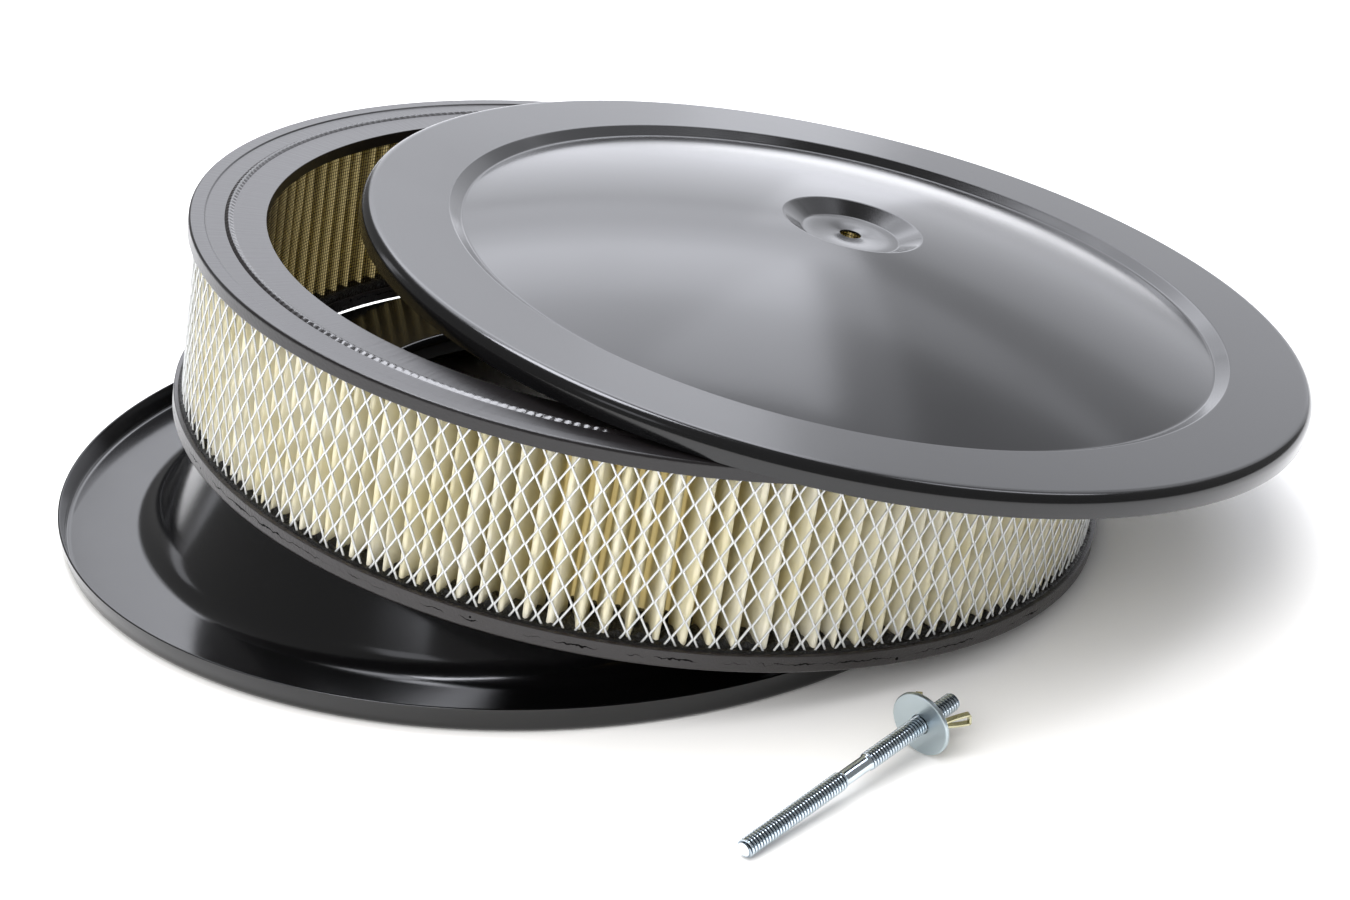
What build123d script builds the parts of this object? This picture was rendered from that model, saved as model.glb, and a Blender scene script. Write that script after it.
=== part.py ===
from build123d import *
import math
import os

os.makedirs("parts", exist_ok=True)

# Round air cleaner, taken apart and laid out: the base pan stands on the floor, the filter
# leans on it with its right edge on the floor, the lid lies on the filter, and the stud lies
# in front with its washer and wing nut on it.
# Millimetres, Z up. The origin is on the axis of the carburetor neck, at its lower edge.

# Filter element
filter_radius = 177.8
filter_height = 75.0
ring_width = 28.2
ring_height = 5.2
ring_edge = 1.0
ring_step = 0.5
outer_land = 5.6
bead_inset = 14.6
bead_width = 2.4
lip_width = 2.0
lip_height = 1.2
mesh_setback = 2.9
mesh_thickness = 1.0
mesh_columns = 40
mesh_rows = 3
mesh_strand = 2.4
pleat_count = 174
pleat_gap = 0.4
pleat_wall = 3.0
screen_setback = 3.0
screen_thickness = 0.8
screen_columns = 40
screen_rows = 3
screen_wire = 2.4

# Sheet metal of the base pan and the lid
sheet = 0.9

# Base pan, heights from the floor
seat_clearance = 2.9
base_rim_height = 9.6
base_rim_flare = 1.4
base_rim_bend = 2.0
base_hat_height = 47.0
base_wall_run = 32.5
base_hat_bend = 4.0
foot_clearance = 3.6
base_foot_bend = 9.0
neck_radius = 65.1
neck_length = 8.0
neck_bend = 3.0

# Lid, heights from the flat face of its rim
lid_clearance = 2.1
flange_height = 8.2
flange_flare = 0.5
flange_bend = 1.8
bead_clearance = 1.1
bead_depth = 3.0
bead_run = 5.0
bead_bend = 1.8
crown_height = 18.5
crown_bulge = 3.4
dish_depth = 4.0
dish_wall_run = 7.8
dish_margin = 7.5
dish_bend = 2.0
hole_clearance = 0.9

# Stud, washer and wing nut
stud_radius = 3.175
stud_length = 103.0
stud_chamfer = 0.6
lower_thread = 45.9
neck_run = 12.6
stud_neck_radius = 2.65
washer_radius = 11.2
washer_thickness = 1.4
washer_clearance = 0.2
washer_place = 85.4
nut_gap = 0.15
nut_clearance = 0.05
nut_hub_radius = 5.2
nut_hub_height = 5.6
nut_flange_radius = 6.0
nut_flange_height = 1.2
wing_reach = 11.5
wing_sheet = 0.9
wing_root_gap = 0.5
wing_tip_gap = 2.2
wing_low = 5.4
wing_high = 12.2
wing_root_low = 1.4
wing_root_high = 6.4

# How the pieces lie
rest_gap = 0.2
lean_azimuth = -2.2
foot_beyond_rim = 34.4
lid_shift = 64.7
lid_azimuth = 0.4
stud_tip_x = 76.5
stud_before_rim = 73.1
stud_azimuth = 46.7

# Sizes that follow from those above
opening_radius = filter_radius - ring_width
bead_radius = filter_radius - bead_inset
base_rim_radius = filter_radius + seat_clearance + sheet
base_foot_radius = opening_radius - foot_clearance
base_hat_radius = base_foot_radius - base_wall_run
lid_radius = filter_radius + lid_clearance + sheet
lid_bead_radius = opening_radius - bead_clearance
dome_radius = lid_bead_radius - bead_run
dish_floor_radius = washer_radius + dish_margin
dish_radius = dish_floor_radius + dish_wall_run
lid_hole_radius = stud_radius + hole_clearance
floor_z = neck_length - base_hat_height
mesh_radius = filter_radius - mesh_setback
screen_radius = opening_radius + screen_setback
wall_height = filter_height - 2 * ring_height


# Leans are searched for between these angles, in radians.
least_lean = 0.01
most_lean = 0.5
search_steps = 60


def solve(excess, low, high):
    """Value at which excess, which rises from below zero to above it, is zero."""
    for _ in range(search_steps):
        middle = (low + high) / 2
        if excess(middle) > 0:
            high = middle
        else:
            low = middle
    return (low + high) / 2


def side_plane(frame):
    """Plane through a frame's axis, with its x outwards and its y along the axis."""
    return Plane(origin=frame.origin, x_dir=frame.x_dir, z_dir=-frame.y_dir)


def corners_between(line, low, high):
    """Corners of a profile whose distance from the axis lies between low and high."""
    return line.vertices().filter_by(lambda point: low < point.X < high)


def leaning_frame(start, azimuth, reach, height, lean):
    """Frame moved along its azimuth and up, and tipped down by lean in that direction."""
    turned = Plane(start.location * Rotation(0, 0, azimuth))
    origin = turned.origin + turned.x_dir * reach + turned.z_dir * height
    slope = turned.x_dir * math.cos(lean) - turned.z_dir * math.sin(lean)
    normal = turned.x_dir * math.sin(lean) + turned.z_dir * math.cos(lean)
    return Plane(origin=origin, x_dir=slope, z_dir=normal)


# Lean of the filter: its lower right edge is on the floor, and its lower inner edge crosses
# and rests on the bend round the top of the base pan's hat.
foot_radius = filter_radius - ring_edge
foot_place = base_rim_radius + foot_beyond_rim


def filter_place(lean):
    """Distance and height of the middle of the filter's underside, from the base's axis."""
    reach = foot_place - foot_radius * math.cos(lean) - ring_edge * math.sin(lean)
    height = rest_gap + foot_radius * math.sin(lean) + ring_edge * (1 - math.cos(lean))
    return reach, height


def inner_edge_height(lean, radius):
    """Height at which the filter's lower inner edge crosses a circle about the base's axis."""
    reach, height = filter_place(lean)

    def inside_by(turn):
        along = reach + opening_radius * math.cos(turn) * math.cos(lean)
        return radius - math.hypot(along, opening_radius * math.sin(turn))

    turn = solve(inside_by, 0, math.pi)
    return height - opening_radius * math.cos(turn) * math.sin(lean)


def filter_clearance(lean):
    """Least height of the filter's lower inner edge over the hat's bend and the base's rim."""
    reach, _ = filter_place(lean)
    wall_slope = math.atan2(base_hat_height - sheet, base_wall_run)
    touch_slope = math.atan(math.tan(lean) * base_hat_radius / reach)
    flat_end = base_hat_radius - base_hat_bend * math.tan(wall_slope / 2)
    hat_radius = flat_end + base_hat_bend * math.sin(touch_slope)
    hat_height = base_hat_height - base_hat_bend * (1 - math.cos(touch_slope))
    over_hat = inner_edge_height(lean, hat_radius) - hat_height
    over_rim = inner_edge_height(lean, base_rim_radius) - base_rim_height
    return min(over_hat, over_rim)


filter_lean = solve(lambda lean: filter_clearance(lean) - rest_gap, least_lean, most_lean)
filter_reach, filter_rise = filter_place(filter_lean)
base_frame = Plane.XY.offset(floor_z)
filter_frame = leaning_frame(base_frame, lean_azimuth, filter_reach, filter_rise, filter_lean)

# Lean of the lid on the filter: its flange stands on the filter's upper ring where their
# edges cross, and the underside of its rim, or its bead, lies on the ring's outer edge.
land_radius = filter_radius - ring_edge


def crossing(radius, shift):
    """Distance along the lid's shift at which a circle of the lid crosses the filter's edge."""
    return (land_radius ** 2 - radius ** 2 + shift ** 2) / (2 * shift)


def lid_height(lean):
    """Height of the lid's face, at its axis, with its flange on the filter's upper ring."""
    shift = lid_shift - flange_height * math.sin(lean)
    along = (crossing(lid_radius, shift) - shift) / math.cos(lean)
    return rest_gap + along * math.sin(lean) + flange_height * math.cos(lean)


def lid_clearance_at(lean):
    """Least height of the rim's underside and of the bead over the filter's outer edge."""
    under_rim = (land_radius - lid_shift) / math.cos(lean)
    under_bead = (crossing(dome_radius, lid_shift) - lid_shift) / math.cos(lean)
    over_rim = lid_height(lean) - under_rim * math.sin(lean) - sheet * math.cos(lean)
    bead_bottom = (sheet + bead_depth) * math.cos(lean)
    over_bead = lid_height(lean) - under_bead * math.sin(lean) - bead_bottom
    return min(over_rim, over_bead)


lid_lean = solve(lambda lean: rest_gap - lid_clearance_at(lean), 0, most_lean)
filter_top_frame = filter_frame.offset(filter_height)
lid_frame = leaning_frame(filter_top_frame, lid_azimuth, lid_shift, lid_height(lid_lean), lid_lean)

# The stud lies with its tip on the floor and its other end held up by the washer's edge.
stud_rise = math.atan2(washer_radius - stud_radius, washer_place)
stud_turn = math.radians(stud_azimuth)
stud_axis = Vector(
    math.cos(stud_turn) * math.cos(stud_rise),
    math.sin(stud_turn) * math.cos(stud_rise),
    math.sin(stud_rise),
)
stud_tip = Vector(
    stud_tip_x,
    -(base_rim_radius + stud_before_rim),
    floor_z + rest_gap + stud_radius * math.cos(stud_rise),
)
stud_side = Vector(math.sin(stud_turn), -math.cos(stud_turn), 0)
stud_frame = Plane(origin=stud_tip, x_dir=stud_side, z_dir=stud_axis)
washer_frame = stud_frame.offset(washer_place)
nut_frame = stud_frame.offset(washer_place + washer_thickness + nut_gap)

# Base pan: one pressed sheet with a rim, a flat seat for the filter, a raised hat and the
# carburetor neck turned down at its middle.
with BuildPart() as base_pan:
    with BuildSketch(side_plane(base_frame)):
        with BuildLine():
            FilletPolyline(
                (neck_radius, base_hat_height - neck_length),
                (neck_radius, base_hat_height),
                (base_hat_radius, base_hat_height),
                (base_foot_radius, sheet),
                (base_rim_radius - sheet - base_rim_flare, sheet),
                (base_rim_radius - sheet, base_rim_height),
                radius=[neck_bend, base_hat_bend, base_foot_bend, base_rim_bend],
            )
            offset(amount=sheet, side=Side.RIGHT)
        make_face()
    revolve(axis=Axis(base_frame.origin, base_frame.z_dir))
base_pan.part.label = "base_pan"

# Lid: one pressed sheet with a flange, a flat rim, a bead that centres it in the filter, a
# low dome and a dish round the stud hole.
dish_height = crown_height - dish_depth
crown_middle = (dish_radius + dome_radius) / 2
crown_middle_height = (crown_height - bead_depth) / 2 + crown_bulge
with BuildPart() as lid:
    with BuildSketch(side_plane(lid_frame)):
        with BuildLine() as lid_line:
            Polyline(
                (lid_hole_radius, dish_height),
                (dish_floor_radius, dish_height),
                (dish_radius, crown_height),
            )
            ThreePointArc(
                (dish_radius, crown_height),
                (crown_middle, crown_middle_height),
                (dome_radius, -bead_depth),
            )
            Polyline(
                (dome_radius, -bead_depth),
                (lid_bead_radius, 0),
                (lid_radius - flange_flare, 0),
                (lid_radius, -flange_height),
            )
            dish_line = corners_between(lid_line, lid_hole_radius + dish_bend, dish_radius + dish_bend)
            fillet(dish_line, dish_bend)
            bead_line = corners_between(lid_line, dome_radius - bead_bend, lid_bead_radius + bead_bend)
            fillet(bead_line, bead_bend)
            fillet(lid_line.vertices().sort_by(Axis.X)[-2], flange_bend)
            offset(amount=sheet, side=Side.RIGHT)
        make_face()
    revolve(axis=Axis(lid_frame.origin, lid_frame.z_dir))
lid.part.label = "lid"

# Upper end ring of the filter: a raised outer land, a step down to the flat, and the raised
# bead that is serrated on the real ring.
flat_height = filter_height - ring_step
bead_inside = bead_radius - bead_width / 2
bead_outside = bead_radius + bead_width / 2
land_inside = filter_radius - outer_land
with BuildPart() as filter_top_ring:
    with BuildSketch(side_plane(filter_frame)):
        with BuildLine():
            Polyline(
                (bead_inside, flat_height),
                (opening_radius, flat_height),
                (opening_radius, filter_height - ring_height),
                (filter_radius, filter_height - ring_height),
                (filter_radius, filter_height - ring_edge),
            )
            RadiusArc(
                (filter_radius, filter_height - ring_edge),
                (filter_radius - ring_edge, filter_height),
                -ring_edge,
            )
            Polyline(
                (filter_radius - ring_edge, filter_height),
                (land_inside, filter_height),
                (land_inside - ring_step, flat_height),
                (bead_outside, flat_height),
            )
            ThreePointArc(
                (bead_outside, flat_height),
                (bead_radius, filter_height),
                (bead_inside, flat_height),
            )
        make_face()
    revolve(axis=Axis(filter_frame.origin, filter_frame.z_dir))
filter_top_ring.part.label = "filter_top_ring"

# Lower end ring of the filter, with a low lip round its ledge.
lip_top = ring_height + lip_height
with BuildPart() as filter_bottom_ring:
    with BuildSketch(side_plane(filter_frame)):
        with BuildLine():
            Polyline(
                (filter_radius - ring_edge, 0),
                (opening_radius, 0),
                (opening_radius, ring_height),
                (filter_radius - lip_width, ring_height),
                (filter_radius - lip_width, lip_top),
                (filter_radius, lip_top),
                (filter_radius, ring_edge),
            )
            RadiusArc((filter_radius, ring_edge), (filter_radius - ring_edge, 0), ring_edge)
        make_face()
    revolve(axis=Axis(filter_frame.origin, filter_frame.z_dir))
filter_bottom_ring.part.label = "filter_bottom_ring"


def zigzag(inner, outer, count):
    """Corners of a closed zigzag that runs between two radii, count times round."""
    corners = []
    for index in range(count):
        turn = 2 * math.pi * index / count
        half = math.pi / count
        corners.append((outer * math.cos(turn), outer * math.sin(turn)))
        corners.append((inner * math.cos(turn + half), inner * math.sin(turn + half)))
    return corners


# Pleated paper between the two screens. The wall's section is given along the radius.
pleat_outside = mesh_radius - mesh_thickness - pleat_gap
pleat_inside = screen_radius + screen_thickness + pleat_gap
wall_frame = filter_frame.offset(ring_height)
with BuildPart() as pleated_paper:
    with BuildSketch(wall_frame):
        with BuildLine():
            Polyline(*zigzag(pleat_inside + pleat_wall, pleat_outside, pleat_count), close=True)
        make_face()
        with BuildLine():
            Polyline(*zigzag(pleat_inside, pleat_outside - pleat_wall, pleat_count), close=True)
        make_face(mode=Mode.SUBTRACT)
    extrude(amount=wall_height)
pleated_paper.part.label = "pleated_paper"

# Outer screen: expanded sheet, with its diamonds at a coarse pitch.
diamond_pitch = 2 * math.pi * mesh_radius / mesh_columns
row_pitch = wall_height / (mesh_rows + 1)
diamond_half_width = (diamond_pitch - mesh_strand) / 2
diamond_half_height = row_pitch * diamond_half_width / (diamond_pitch / 2)
with BuildPart(mode=Mode.PRIVATE) as diamond:
    with BuildSketch(Plane.YZ.offset(mesh_radius - 2 * mesh_thickness)):
        with BuildLine():
            Polyline(
                (diamond_half_width, 0),
                (0, diamond_half_height),
                (-diamond_half_width, 0),
                (0, -diamond_half_height),
                close=True,
            )
        make_face()
    extrude(amount=3 * mesh_thickness)

with BuildPart(wall_frame) as outer_mesh:
    with BuildSketch(wall_frame):
        Circle(mesh_radius)
        Circle(mesh_radius - mesh_thickness, mode=Mode.SUBTRACT)
    extrude(amount=wall_height)
    for row in range(mesh_rows):
        start_angle = 180 / mesh_columns * (row % 2)
        with Locations((0, 0, row_pitch * (row + 1))):
            with PolarLocations(0, mesh_columns, start_angle=start_angle):
                add(diamond.part, mode=Mode.SUBTRACT)
outer_mesh.part.label = "outer_mesh"

# Inner screen: wire cloth, with its windows at a coarse pitch.
window_width = 2 * math.pi * screen_radius / screen_columns - screen_wire
window_pitch = (wall_height - screen_wire) / screen_rows
with BuildPart(mode=Mode.PRIVATE) as window:
    with BuildSketch(Plane.YZ.offset(screen_radius - screen_thickness)):
        Rectangle(window_width, window_pitch - screen_wire)
    extrude(amount=3 * screen_thickness)

with BuildPart(wall_frame) as inner_screen:
    with BuildSketch(wall_frame):
        Circle(screen_radius + screen_thickness)
        Circle(screen_radius, mode=Mode.SUBTRACT)
    extrude(amount=wall_height)
    for row in range(screen_rows):
        with Locations((0, 0, (screen_wire + window_pitch * (2 * row + 1)) / 2)):
            with PolarLocations(0, screen_columns):
                add(window.part, mode=Mode.SUBTRACT)
inner_screen.part.label = "inner_screen"

# Stud: threaded at both ends, with a plain neck between the threads.
thread_depth = stud_radius - stud_neck_radius
upper_thread_start = lower_thread + neck_run
with BuildPart() as stud:
    with BuildSketch(side_plane(stud_frame)):
        with BuildLine():
            Polyline(
                (0, 0),
                (stud_radius - stud_chamfer, 0),
                (stud_radius, stud_chamfer),
                (stud_radius, lower_thread),
                (stud_neck_radius, lower_thread + thread_depth),
                (stud_neck_radius, upper_thread_start - thread_depth),
                (stud_radius, upper_thread_start),
                (stud_radius, stud_length - stud_chamfer),
                (stud_radius - stud_chamfer, stud_length),
                (0, stud_length),
                close=True,
            )
        make_face()
    revolve(axis=Axis(stud_frame.origin, stud_frame.z_dir))
stud.part.label = "stud"

with BuildPart() as washer:
    with BuildSketch(washer_frame):
        Circle(washer_radius)
        Circle(stud_radius + washer_clearance, mode=Mode.SUBTRACT)
    extrude(amount=washer_thickness)
washer.part.label = "washer"


def wing_outline(inset):
    """Corners of a wing seen along the stud, narrow at the hub and wide at the tip."""
    root = wing_root_gap / 2 + wing_sheet - inset
    tip = wing_tip_gap / 2 + wing_sheet - inset
    end = wing_reach - inset
    return [(0, -root), (end, -tip), (end, tip), (0, root)]


# Wing nut: a threaded hub, and two hollow wings of folded sheet that spread outwards.
with BuildPart() as wing_nut:
    with BuildSketch(nut_frame):
        for side in (1, -1):
            with BuildLine():
                Polyline(*[(side * x, y) for x, y in wing_outline(0)], close=True)
            make_face()
        for side in (1, -1):
            with BuildLine():
                Polyline(*[(side * x, y) for x, y in wing_outline(wing_sheet)], close=True)
            make_face(mode=Mode.SUBTRACT)
    extrude(amount=wing_high)
    with BuildSketch(side_plane(nut_frame)):
        with BuildLine():
            Polyline(
                (-wing_reach, wing_low),
                (-nut_hub_radius, wing_root_low),
                (nut_hub_radius, wing_root_low),
                (wing_reach, wing_low),
                (wing_reach, wing_high),
                (nut_hub_radius, wing_root_high),
                (-nut_hub_radius, wing_root_high),
                (-wing_reach, wing_high),
                close=True,
            )
        make_face()
    extrude(amount=wing_reach, both=True, mode=Mode.INTERSECT)
    with BuildSketch(nut_frame):
        Circle(nut_flange_radius)
    extrude(amount=nut_flange_height)
    with BuildSketch(nut_frame):
        Circle(nut_hub_radius)
    extrude(amount=nut_hub_height)
    with BuildSketch(nut_frame):
        Circle(stud_radius + nut_clearance)
    extrude(amount=wing_high, mode=Mode.SUBTRACT)
wing_nut.part.label = "wing_nut"

pieces = [
    base_pan,
    lid,
    filter_top_ring,
    filter_bottom_ring,
    pleated_paper,
    outer_mesh,
    inner_screen,
    stud,
    washer,
    wing_nut,
]
for piece in pieces:
    export_step(piece.part, f"parts/{piece.part.label}.step")

print(f"filter lean {math.degrees(filter_lean):.2f}, lid lean {math.degrees(lid_lean):.2f}")
print(f"filter origin {filter_frame.origin}, lid origin {lid_frame.origin}")
print(f"floor {floor_z:.2f}, stud rise {math.degrees(stud_rise):.2f}")
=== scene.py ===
"""Looks of a round carburetor air cleaner, taken apart and laid out on a white floor.

The base pan stands on the floor, the filter leans on it, the lid lies on the filter, and the
stud lies in front with its washer and wing nut on it. Each sub-assembly is a class that holds
its sizes in millimetres, models its pieces about its own axis and then lays them in place in
the shared frame, in metres.
"""

import logging
import math
from collections.abc import Callable, Iterator
from contextlib import contextmanager
from dataclasses import dataclass, field, replace
from enum import Enum
from itertools import pairwise

import bmesh
import bpy
from mathutils import Matrix, Vector, noise


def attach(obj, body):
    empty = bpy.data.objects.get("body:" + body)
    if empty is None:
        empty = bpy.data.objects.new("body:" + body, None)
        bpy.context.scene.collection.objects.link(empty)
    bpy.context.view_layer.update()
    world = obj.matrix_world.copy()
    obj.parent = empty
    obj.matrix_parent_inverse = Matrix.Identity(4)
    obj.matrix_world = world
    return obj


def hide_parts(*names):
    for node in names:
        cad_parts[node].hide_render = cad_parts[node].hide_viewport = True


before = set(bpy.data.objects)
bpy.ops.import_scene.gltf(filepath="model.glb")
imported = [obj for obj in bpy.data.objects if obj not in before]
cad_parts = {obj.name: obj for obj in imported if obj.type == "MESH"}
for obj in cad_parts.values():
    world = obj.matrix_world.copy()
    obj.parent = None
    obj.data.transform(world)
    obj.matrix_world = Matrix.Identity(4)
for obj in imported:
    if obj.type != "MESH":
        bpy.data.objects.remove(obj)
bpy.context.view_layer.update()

log = logging.getLogger("air_cleaner")

MM = 0.001
FLOOR = -39.0
IMAGE_WIDTH = 1350
Piece = bpy.types.Object
Material = bpy.types.Material
Tree = bpy.types.NodeTree
Node = bpy.types.Node
Socket = bpy.types.NodeSocket
Profile = list[tuple[float, float]]
Corners = list[tuple[float, float, float]]


class Select(Enum):
    """Which kind of element an edit-mode selection acts on."""

    VERTICES = "VERT"
    EDGES = "EDGE"
    FACES = "FACE"


class Facing(Enum):
    """Which way the first face of a pressed sheet's drawn side looks."""

    UP = 1
    INWARDS = -1


# Modelling helpers


def deselect_all() -> None:
    """Leaves nothing selected, so that an operator acts only on what follows."""
    bpy.ops.object.select_all(action="DESELECT")


def activate(piece: Piece) -> None:
    """Selects one object alone and makes it the active one.

    Args:
        piece: The object to select.
    """
    deselect_all()
    piece.select_set(True)
    bpy.context.view_layer.objects.active = piece


@contextmanager
def edit_mode(piece: Piece, kind: Select | None = None) -> Iterator[None]:
    """Holds a piece in edit mode, with all of it selected at first.

    Args:
        piece: The object to edit.
        kind: The kind of element to select, where it matters.

    Yields:
        Nothing; the piece is back in object mode afterwards.
    """
    activate(piece)
    bpy.ops.object.mode_set(mode="EDIT")
    if kind is not None:
        bpy.ops.mesh.select_mode(type=kind.value)
    bpy.ops.mesh.select_all(action="SELECT")
    yield
    bpy.ops.object.mode_set(mode="OBJECT")


def drawn(name: str) -> Piece:
    """Names the primitive that was just added, and its mesh, and returns it.

    Args:
        name: The name to give.

    Returns:
        The object.
    """
    piece = bpy.context.object
    piece.name = name
    piece.data.name = name
    return piece


def fix_transform() -> None:
    """Applies the place, turn and size of what is selected to its mesh."""
    bpy.ops.object.transform_apply(location=True, rotation=True, scale=True)


def select_where(piece: Piece, kind: Select, chosen: Callable[[Vector], bool]) -> None:
    """Selects edges or faces of a mesh in edit mode by their place.

    Args:
        piece: The object in edit mode.
        kind: Whether edges or faces are chosen.
        chosen: Called with each element's middle as a vector; true selects it.
    """
    bpy.ops.mesh.select_mode(type=kind.value)
    bpy.ops.mesh.select_all(action="DESELECT")
    mesh = bmesh.from_edit_mesh(piece.data)
    if kind is Select.EDGES:
        for edge in mesh.edges:
            edge.select = chosen((edge.verts[0].co + edge.verts[1].co) / 2)
    else:
        for face in mesh.faces:
            face.select = chosen(face.calc_center_median())
    mesh.select_flush_mode()
    bmesh.update_edit_mesh(piece.data)


def apply_modifier(piece: Piece, kind: str, **settings) -> None:
    """Adds a modifier to a piece, sets it and applies it.

    Args:
        piece: The object that gets it.
        kind: The modifier's type.
        settings: Its properties by name.
    """
    activate(piece)
    modifier = piece.modifiers.new(kind.title(), kind)
    for name, value in settings.items():
        setattr(modifier, name, value)
    bpy.ops.object.modifier_apply(modifier=modifier.name)


def break_edges(piece: Piece, width: float, segments: int, degrees: float) -> None:
    """Bevels the edges that are sharper than an angle.

    Args:
        piece: The object to bevel.
        width: Width of the bevel, in millimetres.
        segments: Number of faces across it.
        degrees: The angle.
    """
    sharper = math.radians(degrees)
    settings = {"width": width, "segments": segments, "limit_method": "ANGLE"}
    apply_modifier(piece, "BEVEL", **settings, angle_limit=sharper)


def weld(piece: Piece, distance: float = 0.002) -> None:
    """Merges doubled vertices and turns all faces outwards.

    Args:
        piece: The object to clean.
        distance: Vertices nearer than this become one, in millimetres.
    """
    with edit_mode(piece):
        bpy.ops.mesh.remove_doubles(threshold=distance)
        bpy.ops.mesh.normals_make_consistent(inside=False)


def trim(piece: Piece, low: float, high: float) -> None:
    """Cuts a piece off level at two heights and closes the cuts.

    Args:
        piece: The closed piece to cut.
        low: Height of the lower cut, in millimetres.
        high: Height of the upper cut.
    """
    for height, way in ((low, -1), (high, 1)):
        with edit_mode(piece):
            bpy.ops.mesh.bisect(
                plane_co=(0, 0, height), plane_no=(0, 0, way), use_fill=True, clear_outer=True
            )


def turned(name: str, profile: Profile, columns: int) -> Piece:
    """Turns a profile round the Z axis, as on a lathe.

    Args:
        name: The piece's name.
        profile: Radius and height of each corner; its radii stay above zero.
        columns: Number of faces round the axis.

    Returns:
        The new object, open where its profile is open.
    """
    deselect_all()
    radius, height = profile[0]
    bpy.ops.mesh.primitive_circle_add(vertices=columns, radius=radius, location=(0, 0, 0))
    piece = drawn(name)
    with edit_mode(piece, Select.EDGES):
        bpy.ops.transform.translate(value=(0, 0, height))
        for (near, low), (far, high) in pairwise(profile):
            rise = {"value": (0, 0, high - low)}
            bpy.ops.mesh.extrude_region_move(TRANSFORM_OT_translate=rise)
            scale = far / near
            bpy.ops.transform.resize(value=(scale, scale, 1), center_override=(0, 0, high))
    return piece


def ringed(name: str, section: Profile, columns: int) -> Piece:
    """Turns a closed section round the Z axis and closes its seam.

    Args:
        name: The piece's name.
        section: Radius and height of each corner, once round.
        columns: Number of faces round the axis.

    Returns:
        The closed ring.
    """
    piece = turned(name, [*section, section[0]], columns)
    weld(piece)
    return piece


def smooth(piece: Piece, degrees: float = 32.0) -> None:
    """Shades a piece smooth, with its sharper edges kept."""
    activate(piece)
    bpy.ops.object.shade_smooth_by_angle(angle=math.radians(degrees))


def repeat_round(piece: Piece, count: int) -> None:
    """Copies a piece evenly round the Z axis.

    Args:
        piece: The piece to repeat.
        count: How many there are then.
    """
    deselect_all()
    bpy.ops.object.empty_add(location=(0, 0, 0), rotation=(0, 0, 2 * math.pi / count))
    turn = bpy.context.object
    settings = {"use_relative_offset": False, "use_object_offset": True}
    apply_modifier(piece, "ARRAY", count=count, **settings, offset_object=turn)
    bpy.data.objects.remove(turn)


def repeat_up(piece: Piece, count: int, step: float) -> None:
    """Copies a piece upwards at an even step, in millimetres.

    Args:
        piece: The piece to repeat.
        count: How many there are then.
        step: Distance between two, in millimetres.
    """
    settings = {"use_relative_offset": False, "use_constant_offset": True}
    step_up = (0, 0, step)
    apply_modifier(piece, "ARRAY", count=count, **settings, constant_offset_displace=step_up)


def join(name: str, pieces: list[Piece]) -> Piece:
    """Joins pieces into the first one and names it.

    Args:
        name: Name of the whole.
        pieces: The pieces to join.

    Returns:
        The joined object.
    """
    deselect_all()
    for piece in pieces:
        piece.select_set(True)
    bpy.context.view_layer.objects.active = pieces[0]
    bpy.ops.object.join()
    return drawn(name)


def polar(point: Vector) -> tuple[float, float]:
    """Radius and angle of a point about the Z axis."""
    return math.hypot(point.x, point.y), math.atan2(point.y, point.x)


def at_polar(radius: float, turn: float, height: float) -> Vector:
    """Point at a radius and an angle about the Z axis and at a height."""
    return Vector((radius * math.cos(turn), radius * math.sin(turn), height))


def rounded(corners: Corners, turns: int) -> Profile:
    """Rounds the corners of a profile with arcs.

    Args:
        corners: Radius, height and bend radius of each corner, in millimetres.
        turns: Number of runs in each bend.

    Returns:
        The profile, with a point close to each end of each bend, so that the flats
        between bends stay flat when they are shaded.
    """
    support = 0.4  # Distance from a bend to the point that keeps its flat side flat.
    profile: Profile = []
    for index, (radius, height, bend) in enumerate(corners):
        here = Vector((radius, height))
        if bend <= 0 or index in (0, len(corners) - 1):
            profile.append((radius, height))
            continue
        before = Vector(corners[index - 1][:2]) - here
        after = Vector(corners[index + 1][:2]) - here
        inner = before.angle(after)
        run = bend / math.tan(inner / 2)
        first, last = before.normalized(), after.normalized()
        middle = here + (first + last).normalized() * (bend / math.sin(inner / 2))
        spread = math.pi - inner
        start, side = here + first * run - middle, -first
        if before.length > run + 2 * support:
            profile.append(tuple(here + first * (run + support)))
        for step in range(turns + 1):
            turn = spread * step / turns
            point = middle + start * math.cos(turn) + side * bend * math.sin(turn)
            profile.append(tuple(point))
        if after.length > run + 2 * support:
            profile.append(tuple(here + last * (run + support)))
    return profile


def leaning(start: Matrix, azimuth: float, reach: float, height: float, lean: float) -> Matrix:
    """Moves a frame along its azimuth and up, and tips it down by lean in that direction.

    Args:
        start: The frame that the new one is measured from, in millimetres.
        azimuth: Direction of the move, in degrees.
        reach: Distance along it.
        height: Distance up.
        lean: Angle of tipping, in radians.

    Returns:
        The new frame.
    """
    turn = Matrix.Rotation(math.radians(azimuth), 4, "Z")
    move = Matrix.Translation((reach, 0, height))
    return start @ turn @ move @ Matrix.Rotation(lean, 4, "Y")


def lay(piece: Piece, finish: Material, place: Matrix, body: str, slot: str, *nodes: str) -> None:
    """Dresses a finished piece, lays it in its place and hides the CAD nodes that it stands for.

    Args:
        piece: The piece, modelled in millimetres about its own axis.
        finish: Its material.
        place: Its frame, in millimetres.
        body: The CAD body that it rides on.
        slot: The record's material slot that its finish belongs to. Not used.
        *nodes: The CAD nodes that it stands for.
    """
    piece.data.materials.append(finish)
    activate(piece)
    piece.matrix_world = Matrix.Scale(MM, 4) @ place
    fix_transform()
    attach(piece, body)
    if nodes:
        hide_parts(*nodes)
    log.info("%s: %d faces", piece.name, len(piece.data.polygons))


# Materials


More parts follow.
